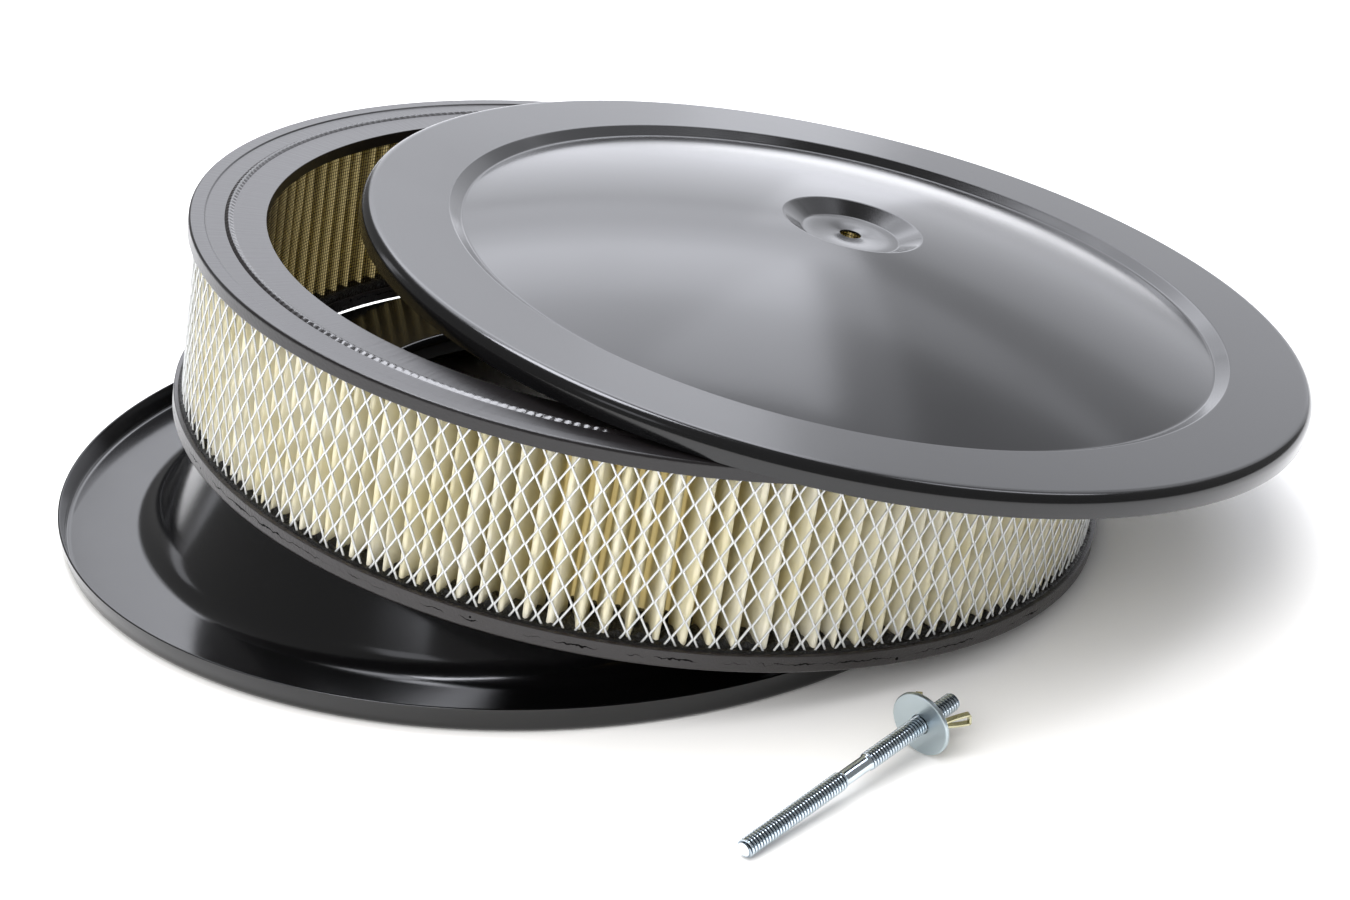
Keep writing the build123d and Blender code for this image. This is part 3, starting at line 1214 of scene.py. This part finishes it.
    def paper(self, finish: Material) -> None:
        """Models one pleat, repeats it round the filter and lets the pleats wander.

        Args:
            finish: Its material.
        """
        low, high = self.wall()
        fold = self.pleat_line()
        runs = len(fold) - 1
        deselect_all()
        bpy.ops.mesh.primitive_grid_add(
            x_subdivisions=runs, y_subdivisions=self.pleat_rows, size=1, location=(0, 0, 0)
        )
        pleat = drawn("pleated_paper_folds")
        for vertex in pleat.data.vertices:
            radius, turn = fold[round((vertex.co.x + 0.5) * runs)]
            level = vertex.co.y + 0.5
            vertex.co = at_polar(radius, turn, low + (high - low) * level)
        repeat_round(pleat, self.pleat_count)
        weld(pleat, 0.01)
        middle = (self.pleat_inside + self.pleat_outside) / 2
        for vertex in pleat.data.vertices:
            (radius, turn), height = polar(vertex.co), vertex.co.z
            side = (radius - middle) / (self.pleat_outside - middle)
            where = self.wander_place(turn, height, side) * 1.7 + Vector((9, 4, 2))
            radius -= self.pleat_drop * max(0.0, noise.noise(where)) * max(side, 0)
            vertex.co = at_polar(radius, turn + self.wander(turn, height, side), height)
        apply_modifier(pleat, "SOLIDIFY", thickness=self.paper_thickness, offset=0)
        smooth(pleat, 50)
        lay(pleat, finish, LAYOUT.filter(), "cleaner", "filter_paper", "pleated_paper")

    def wander_place(self, turn: float, height: float, side: float) -> Vector:
        """Place in the noise that makes the pleats uneven."""
        return Vector((math.cos(turn) * 30, math.sin(turn) * 30, height * 0.012 + side * 0.35))

    def wander(self, turn: float, height: float, side: float) -> float:
        """How far a pleat has moved round the axis from its even place.

        Args:
            turn: Its even angle, in radians.
            height: Height on the paper.
            side: From -1 at the inner folds to 1 at the outer folds.

        Returns:
            The angle to add to its even one.
        """
        where = self.wander_place(turn, height, side)
        radius = (self.pleat_inside + self.pleat_outside) / 2
        radius += side * (self.pleat_outside - self.pleat_inside) / 2
        shift = 1.7 * noise.noise(where) + 0.4 * noise.noise(where * 2.7)
        crowd = math.sin(self.crowded_lobes * (turn - math.radians(self.widest_pleat)))
        return shift / radius + crowd * self.crowding / self.crowded_lobes

    def gap_share(self, turn: float) -> float:
        """How far an angle lies between two outer folds, from 0 at a fold to 1 midway.

        Args:
            turn: The angle about the axis, in radians.

        Returns:
            The share.
        """
        even = turn
        for _ in range(8):
            even = turn - self.wander(even, self.ring_height, 1.0)
        return 0.5 + 0.5 * math.cos(even * self.pleat_count)

    def pleat_line(self) -> Profile:
        """Line of one pleat seen from above.

        Returns:
            Radius and angle of each point, from one inner fold's middle to the next one's.
        """
        half, bend = math.pi / self.pleat_count, self.fold_radius
        outer, inner = self.pleat_outside, self.pleat_inside
        turns = [math.pi / 2 * step / 2 for step in range(3)]
        inside = [
            (inner + bend * (1 - math.cos(turn)), bend * math.sin(turn) / inner) for turn in turns
        ]
        outside = []
        for step in range(5):
            turn = math.pi * step / 4
            spread = -math.cos(turn) * bend / outer
            outside.append((outer - bend * (1 - math.sin(turn)), half + spread))
        flank = (outer + inner) / 2
        line = [*inside, (flank, half * 0.5), *outside, (flank, half * 1.5)]
        return line + [(radius, 2 * half - turn) for radius, turn in reversed(inside)]

    def outer_mesh(self, finish: Material) -> None:
        """Models one column of the expanded steel's strands and repeats it round the filter.

        Args:
            finish: Its material.
        """
        low, high = self.wall()
        half_wide, half_high = math.pi / self.mesh_columns, self.diamond_height / 2
        knot = self.strand_width * self.knot_share / self.mesh_radius
        strands = []
        for row in range(math.ceil((high - low) / half_high) + 1):
            foot = low - self.mesh_start + row * half_high
            for lean in (1, -1):
                start = half_wide * (row % 2) + lean * knot
                end = half_wide * (row % 2 + lean) - lean * knot
                strands.append(self.strand(foot, start, end, half_high))
        column = join("outer_mesh_strands", strands)
        trim(column, low - self.mesh_tuck, high + self.mesh_tuck)
        repeat_round(column, self.mesh_columns)
        smooth(column, 75)
        lay(column, finish, LAYOUT.filter(), "cleaner", "coated_mesh", "outer_mesh")

    def strand(self, low: float, start: float, end: float, rise: float) -> Piece:
        """Models one strand of the expanded steel, from knot to knot.

        Args:
            low: Height of its lower knot.
            start: Angle of its lower end about the filter's axis.
            end: Angle of its upper end.
            rise: Height from knot to knot.

        Returns:
            The strand as a closed bar of a flat tilted section.
        """
        deselect_all()
        bpy.ops.mesh.primitive_cylinder_add(
            vertices=6, radius=0.55, depth=1, end_fill_type="NGON", location=(0, 0, 0)
        )
        bar = drawn("strand")
        with edit_mode(bar, Select.EDGES):
            for place in (0.0, -0.38, 0.38):
                bpy.ops.mesh.select_all(action="SELECT")
                bpy.ops.mesh.bisect(plane_co=(0, 0, place), plane_no=(0, 0, 1))
        tilt = math.radians(self.strand_tilt) * (1 if end > start else -1)
        for vertex in bar.data.vertices:
            along = vertex.co.z + 0.5
            eased = along * along * (3 - 2 * along)
            share = 0.7 * along + 0.3 * eased
            wide, deep = vertex.co.x * self.strand_width, vertex.co.y * self.strand_thickness
            across = wide * math.cos(tilt) - deep * math.sin(tilt)
            out = wide * math.sin(tilt) + deep * math.cos(tilt)
            turn = start + (end - start) * share + across / self.mesh_radius
            vertex.co = at_polar(self.mesh_radius + out, turn, low + rise * along)
        return bar

    def inner_screen(self, finish: Material) -> None:
        """Models one ring wire and one upright wire, and repeats both into wire cloth. Its
        wires are thicker and further apart than the real ones, to keep the mesh light.

        Args:
            finish: Its material.
        """
        low, high = self.wall()
        deselect_all()
        bpy.ops.mesh.primitive_torus_add(
            major_radius=self.screen_radius,
            minor_radius=self.wire_radius,
            major_segments=180,
            minor_segments=3,
            location=(0, 0, low + self.wire_pitch / 2),
        )
        rings = drawn("ring_wires")
        fix_transform()
        repeat_up(rings, int((high - low) / self.wire_pitch), self.wire_pitch)
        deselect_all()
        bpy.ops.mesh.primitive_cylinder_add(
            vertices=3,
            radius=self.wire_radius,
            depth=high - low,
            end_fill_type="NGON",
            location=(self.screen_radius - self.wire_radius, 0, (high + low) / 2),
        )
        uprights = drawn("upright_wires")
        fix_transform()
        repeat_round(uprights, round(2 * math.pi * self.screen_radius / self.wire_pitch))
        cloth = join("inner_screen_wires", [rings, uprights])
        smooth(cloth, 130)
        lay(cloth, finish, LAYOUT.filter(), "cleaner", "wire_cloth", "inner_screen")


@dataclass
class StudSet:
    """The centre stud, its washer and its wing nut."""

    radius: float = 3.175
    core_radius: float = 2.45
    neck_radius: float = 2.65
    length: float = 103.0
    pitch: float = 1.27
    crest_round: float = 0.06
    lead_turns: float = 1.37
    thread_steps: int = 28
    lower_thread: float = 45.9
    neck_run: float = 12.6
    neck_overlap: float = 0.6
    chamfer: float = 0.66
    washer_radius: float = 11.2
    washer_hole: float = 3.375
    washer_thickness: float = 1.4
    washer_place: float = 85.4
    nut_gap: float = 0.15
    hub_radius: float = 5.2
    hub_height: float = 5.6
    hub_bend: float = 0.3
    flange_radius: float = 6.0
    flange_height: float = 1.2
    bore_radius: float = 3.225
    wing_sheet: float = 0.7
    wing_root_half: float = 0.72
    wing_tip_half: float = 2.0
    wing_root: tuple[float, float] = (4.9, 2.0)
    wing_tip: tuple[float, float] = (10.5, 11.55)
    wing_tip_bend: float = 0.7
    wing_breadth: float = 2.2
    wing_bow: float = 0.22

    def thread(self, name: str, low: float, high: float) -> Piece:
        """Models a rolled thread between two heights, with closed ends.

        Args:
            name: The piece's name.
            low: Where the thread starts.
            high: Where it ends.

        Returns:
            The thread as a closed mesh.
        """
        flat, middle = self.pitch / 8, self.pitch / 2
        line = [
            (self.core_radius, 0.0),
            (self.core_radius, flat * 0.8),
            (self.radius - self.crest_round, middle - flat * 1.7),
            (self.radius, middle - flat * 1.1),
            (self.radius, middle + flat * 1.3),
            (self.radius - self.crest_round, middle + flat * 1.9),
            (self.core_radius, self.pitch - flat * 0.6),
            (self.core_radius, self.pitch),
        ]
        deselect_all()
        bpy.ops.mesh.primitive_plane_add(size=1, location=(0, 0, 0))
        ridge = drawn(name)
        with edit_mode(ridge, Select.VERTICES):
            bpy.ops.mesh.merge(type="CENTER")
            bpy.ops.mesh.select_all(action="SELECT")
            start = low - self.pitch * self.lead_turns
            bpy.ops.transform.translate(value=(self.core_radius, 0, start))
            for (near, under), (far, over) in pairwise(line):
                step = {"value": (far - near, 0, over - under)}
                bpy.ops.mesh.extrude_vertices_move(TRANSFORM_OT_translate=step)
        apply_modifier(
            ridge,
            "SCREW",
            axis="Z",
            angle=2 * math.pi,
            screw_offset=self.pitch,
            iterations=math.ceil((high - low) / self.pitch) + 3,
            steps=self.thread_steps,
            render_steps=self.thread_steps,
            use_smooth_shade=True,
        )
        weld(ridge, 0.004)
        trim(ridge, low, high)
        for vertex in ridge.data.vertices:
            reach, _ = polar(vertex.co)
            inside = min(vertex.co.z - low, high - vertex.co.z, self.chamfer)
            allowed = self.radius - self.chamfer + inside
            if reach > allowed:
                vertex.co.x *= allowed / reach
                vertex.co.y *= allowed / reach
        weld(ridge, 0.004)
        smooth(ridge, 28)
        return ridge

    def stud(self, finish: Material) -> None:
        """Models both threads and the plain neck between them, and lays the stud down.

        Args:
            finish: Its material.
        """
        start, end = self.lower_thread, self.lower_thread + self.neck_run
        lower = self.thread("lower_thread", 0.0, start + 0.3)
        upper = self.thread("upper_thread", end - 0.3, self.length)
        ends = (start - self.neck_overlap, end + self.neck_overlap)
        corners = [
            (self.core_radius - 0.3, ends[0], 0.0),
            (self.radius - 0.12, start - 0.2, 0.1),
            (self.neck_radius, start + 0.7, 0.6),
            (self.neck_radius, end - 0.7, 0.6),
            (self.radius - 0.12, end + 0.2, 0.1),
            (self.core_radius - 0.3, ends[1], 0.0),
        ]
        neck = turned("stud_neck", rounded(corners, 4), 32)
        with edit_mode(neck):
            for height in ends:
                select_where(neck, Select.EDGES, lambda point, at=height: abs(point.z - at) < 0.01)
                bpy.ops.mesh.edge_face_add()
        weld(neck)
        smooth(neck, 40)
        piece = join("stud_rolled", [lower, neck, upper])
        lay(piece, finish, LAYOUT.stud(), "cleaner", "bright_zinc", "stud")

    def washer(self, finish: Material) -> None:
        """Models the punched washer, with one edge rounded by the punch.

        Args:
            finish: Its material.
        """
        thick, seam = self.washer_thickness, (self.washer_hole + self.washer_radius) / 2
        corners = [
            (seam, 0.0, 0.0),
            (self.washer_hole, 0.0, 0.3),
            (self.washer_hole, thick, 0.15),
            (self.washer_radius, thick, 0.2),
            (self.washer_radius, 0.0, 0.5),
            (seam + 0.5, 0.0, 0.0),
        ]
        piece = ringed("washer_punched", rounded(corners, 5), 96)
        smooth(piece)
        lay(piece, finish, LAYOUT.stud(self.washer_place), "washer", "bright_zinc", "washer")

    def wing(self) -> Piece:
        """Models one wing: a narrow strip folded into a loop that rises outwards from the hub
        and widens to a squared tip.

        Returns:
            The wing on the hub's positive X side.
        """
        root, tip = Vector(self.wing_root), Vector(self.wing_tip)
        run = (tip - root).length
        half = self.wing_breadth / 2
        deselect_all()
        bpy.ops.mesh.primitive_cube_add(size=1, location=(run / 2, 0, 0))
        wing = drawn("wing")
        wing.scale = (run, 2 * self.wing_root_half, self.wing_breadth)
        fix_transform()
        with edit_mode(wing):
            select_where(wing, Select.FACES, lambda at: at.x > run - 0.01)
            flare = (1, self.wing_tip_half / self.wing_root_half, 1)
            bpy.ops.transform.resize(value=flare, center_override=(run, 0, 0))
            select_where(wing, Select.FACES, lambda at: abs(at.z) > half - 0.01 or at.x < 0.01)
            bpy.ops.mesh.delete(type="FACE")
            select_where(wing, Select.EDGES, lambda at: at.x > run - 0.01 and abs(at.y) > 0.5)
            bpy.ops.mesh.bevel(offset=self.wing_tip_bend, segments=5, affect="EDGES")
            bpy.ops.mesh.select_all(action="SELECT")
            bpy.ops.mesh.subdivide(number_cuts=5)
        along = (tip - root) / run
        across = Vector((-along.y, along.x))
        for vertex in wing.data.vertices:
            share = min(max(vertex.co.x / run, 0.0), 1.0)
            place = root + along * vertex.co.x + across * vertex.co.z
            bow = 1.0 + self.wing_bow * math.sin(math.pi * share)
            vertex.co = (place.x, vertex.co.y * bow, place.y)
        weld(wing)
        apply_modifier(wing, "SOLIDIFY", thickness=self.wing_sheet, offset=-1)
        break_edges(wing, 0.16, 3, 50)
        return wing

    def wing_nut(self, finish: Material) -> None:
        """Models the tapped hub with its flange, and its two folded wings.

        Args:
            finish: Its material.
        """
        bend = self.hub_bend
        corners = [
            (self.bore_radius, self.hub_height / 2, 0.0),
            (self.bore_radius, self.hub_height, bend),
            (self.hub_radius - 0.5, self.hub_height, 0.7),
            (self.hub_radius, self.flange_height, bend),
            (self.flange_radius, self.flange_height, bend),
            (self.flange_radius, 0.0, bend),
            (self.bore_radius, 0.0, bend),
        ]
        hub = ringed("hub", rounded(corners, 4), 64)
        first = self.wing()
        activate(first)
        bpy.ops.object.duplicate()
        second = drawn("second_wing")
        second.rotation_euler.z = math.pi
        fix_transform()
        piece = join("wing_nut_stamped", [hub, first, second])
        smooth(piece, 40)
        place = self.washer_place + self.washer_thickness + self.nut_gap
        lay(piece, finish, LAYOUT.stud(place), "wing_nut", "yellow_zinc", "wing_nut")


# Floor, lights and camera


@dataclass(frozen=True)
class Softbox:
    """One soft lamp. Its glow is how bright its face is, where 1 is white, and where it isn't
    mirrored, no surface shows its shape."""

    name: str
    place: tuple[float, float, float]
    size: tuple[float, float]
    glow: float
    aim: tuple[float, float, float] = (0.06, 0.0, 0.0)
    mirrored: bool = True
    tint: str = "f3f5fd"

    def build(self) -> None:
        """Hangs the lamp."""
        lamp = bpy.data.lights.new(self.name, "AREA")
        lamp.shape = "RECTANGLE"
        lamp.size, lamp.size_y = self.size
        lamp.energy = self.glow * math.pi * self.size[0] * self.size[1]
        lamp.color = colour(self.tint)[:3]
        holder = bpy.data.objects.new(self.name, lamp)
        bpy.context.scene.collection.objects.link(holder)
        way = Vector(self.aim) - Vector(self.place)
        holder.location = self.place
        holder.rotation_euler = way.to_track_quat("-Z", "Y").to_euler()
        holder.visible_camera = False
        holder.visible_glossy = self.mirrored


# A fill lamp doesn't show in the enamel, and is a little warmer than the others.
UNSEEN = (False, "fffdfa")


@dataclass
class Studio:
    """A white floor, soft lamps and a camera at the photograph's angle."""

    floor_size: float = 8.0
    floor_gap: float = 0.05
    floor_colour: str = "fbfbfb"
    ambient: float = 0.44
    dim_gloss: float = 0.25
    camera_place: tuple[float, float, float] = (0.05513, -0.94524, 0.4113)
    camera_pitch: float = 24.42
    camera_roll: float = 0.272
    focal_pixels: float = 2674.8
    sensor: float = 36.0
    lamps: tuple[Softbox, ...] = (
        Softbox("overhead_bank", (0.0, 1.75, 1.6), (1.3, 1.6), 2.9, (0.0, 1.75, 0.0)),
        Softbox("overhead_bank_edge", (0.0, 1.9, 1.62), (1.8, 2.2), 0.8, (0.0, 1.9, 0.0)),
        Softbox("key_softbox", (-0.3, 0.62, 2.1), (0.8, 0.9), 15.0),
        Softbox("far_bank", (-0.1, 3.3, 1.6), (2.0, 1.5), 1.5, (-0.1, 3.3, 0.0)),
        Softbox("back_wall", (1.15, 3.8, 1.6), (4.7, 3.6), 0.9, (1.15, 0.0, 1.6)),
        Softbox("back_wall_glow", (-0.05, 3.7, 0.7), (1.8, 1.4), 1.0, (-0.05, 0.0, 0.7)),
        Softbox("back_right_wall", (1.6, 3.6, 1.0), (2.2, 1.4), 0.45, (1.6, 0.0, 1.0)),
        Softbox("overhead_right", (0.97, 1.39, 1.7), (1.5, 1.2), 0.8),
        Softbox("left_strip", (-1.9, 1.26, 0.62), (0.3, 1.0), 1.3),
        Softbox("front_left_softbox", (-1.05, -1.25, 1.47), (0.55, 0.5), 2.0),
        Softbox("right_strip", (1.15, 0.44, 1.58), (0.3, 0.7), 6.0),
        Softbox("overhead_fill", (-0.3, -0.5, 2.4), (2.4, 2.0), 3.0, (-0.1, -0.5, 0.0), *UNSEEN),
        Softbox("front_fill", (-1.2, -2.2, 1.3), (2.8, 1.6), 3.7, (0.0, 0.0, 0.0), *UNSEEN),
    )

    def floor(self) -> None:
        """Lays the floor: matt white board, which keeps the object's shadow."""
        deselect_all()
        place = (0, 0, (FLOOR - self.floor_gap) * MM)
        bpy.ops.mesh.primitive_grid_add(
            x_subdivisions=2, y_subdivisions=2, size=self.floor_size, location=place
        )
        board = drawn("floor")
        fix_transform()
        finish = Finish("white_board", self.floor_colour, 0.9)
        material, _, _ = finish.start(Specular_IOR_Level=0.0)
        board.data.materials.append(material)

    def world(self) -> None:
        """Dims the room as a dark studio is, and shows it plain white to the camera."""
        room = bpy.data.worlds.new("white_room")
        bpy.context.scene.world = room
        room.use_nodes = True
        tree = room.node_tree
        background = tree.nodes["Background"]
        rays = add_node(tree, "LightPath").outputs
        dim = {"Value": rays["Is Glossy Ray"], "To Min": self.ambient, "To Max": self.dim_gloss}
        room_light = add_node(tree, "MapRange", dim)
        shown = {"Value": rays["Is Camera Ray"], "To Min": room_light, "To Max": 1.0}
        add_node(tree, "MapRange", shown, background.inputs["Strength"])
        background.inputs["Color"].default_value = (1, 1, 1, 1)

    def camera(self) -> None:
        """Places the camera as the photograph's perspective gives it."""
        pitch, roll = math.radians(self.camera_pitch), math.radians(self.camera_roll)
        ahead = Vector((0, math.cos(pitch), -math.sin(pitch)))
        level_up = Vector((0, math.sin(pitch), math.cos(pitch)))
        level_right = Vector((1, 0, 0))
        right = level_right * math.cos(roll) + level_up * math.sin(roll)
        up = level_up * math.cos(roll) - level_right * math.sin(roll)
        data = bpy.data.cameras.new("photograph_view")
        data.sensor_width = self.sensor
        data.lens = self.focal_pixels / IMAGE_WIDTH * self.sensor
        holder = bpy.data.objects.new("photograph_view", data)
        bpy.context.scene.collection.objects.link(holder)
        turned_to = Matrix((right, up, -ahead)).transposed().to_4x4()
        holder.matrix_world = Matrix.Translation(self.camera_place) @ turned_to
        bpy.context.scene.camera = holder

    def build(self) -> None:
        """Sets up the whole studio."""
        self.floor()
        self.world()
        for lamp in self.lamps:
            lamp.build()
        self.camera()
        view = bpy.context.scene.view_settings
        view.view_transform = "Standard"


def main() -> None:
    """Builds and dresses every piece, then the studio."""
    logging.basicConfig(level=logging.INFO, format="%(name)s: %(message)s")
    enamel = BakedEnamel().build()
    BasePan().build(enamel)
    Lid().build(enamel)

    element = Filter()
    place = LAYOUT.filter()
    ring = MouldedRubber(place=place).build()
    element.top_ring(ring)
    element.bead(MouldedRubber(name="cast_urethane_bead", roughness=0.16, place=place).build())
    torn = MouldedRubber(name="torn_cast_urethane", base="211e1e", place=place, torn=True)
    element.bottom_ring(torn.build())
    element.compound(FoamedCompound().build())
    element.paper(FilterPaper(place=place).build())
    element.outer_mesh(GALVANISED.build())
    element.inner_screen(SHADE_PAINTED_WIRE.build())

    fixing = StudSet()
    fixing.stud(replace(BRIGHT_ZINC, place=LAYOUT.stud()).build())
    fixing.washer(WASHER_ZINC.build())
    fixing.wing_nut(YELLOW_ZINC.build())

    Studio().build()


if __name__ == "__main__":
    main()
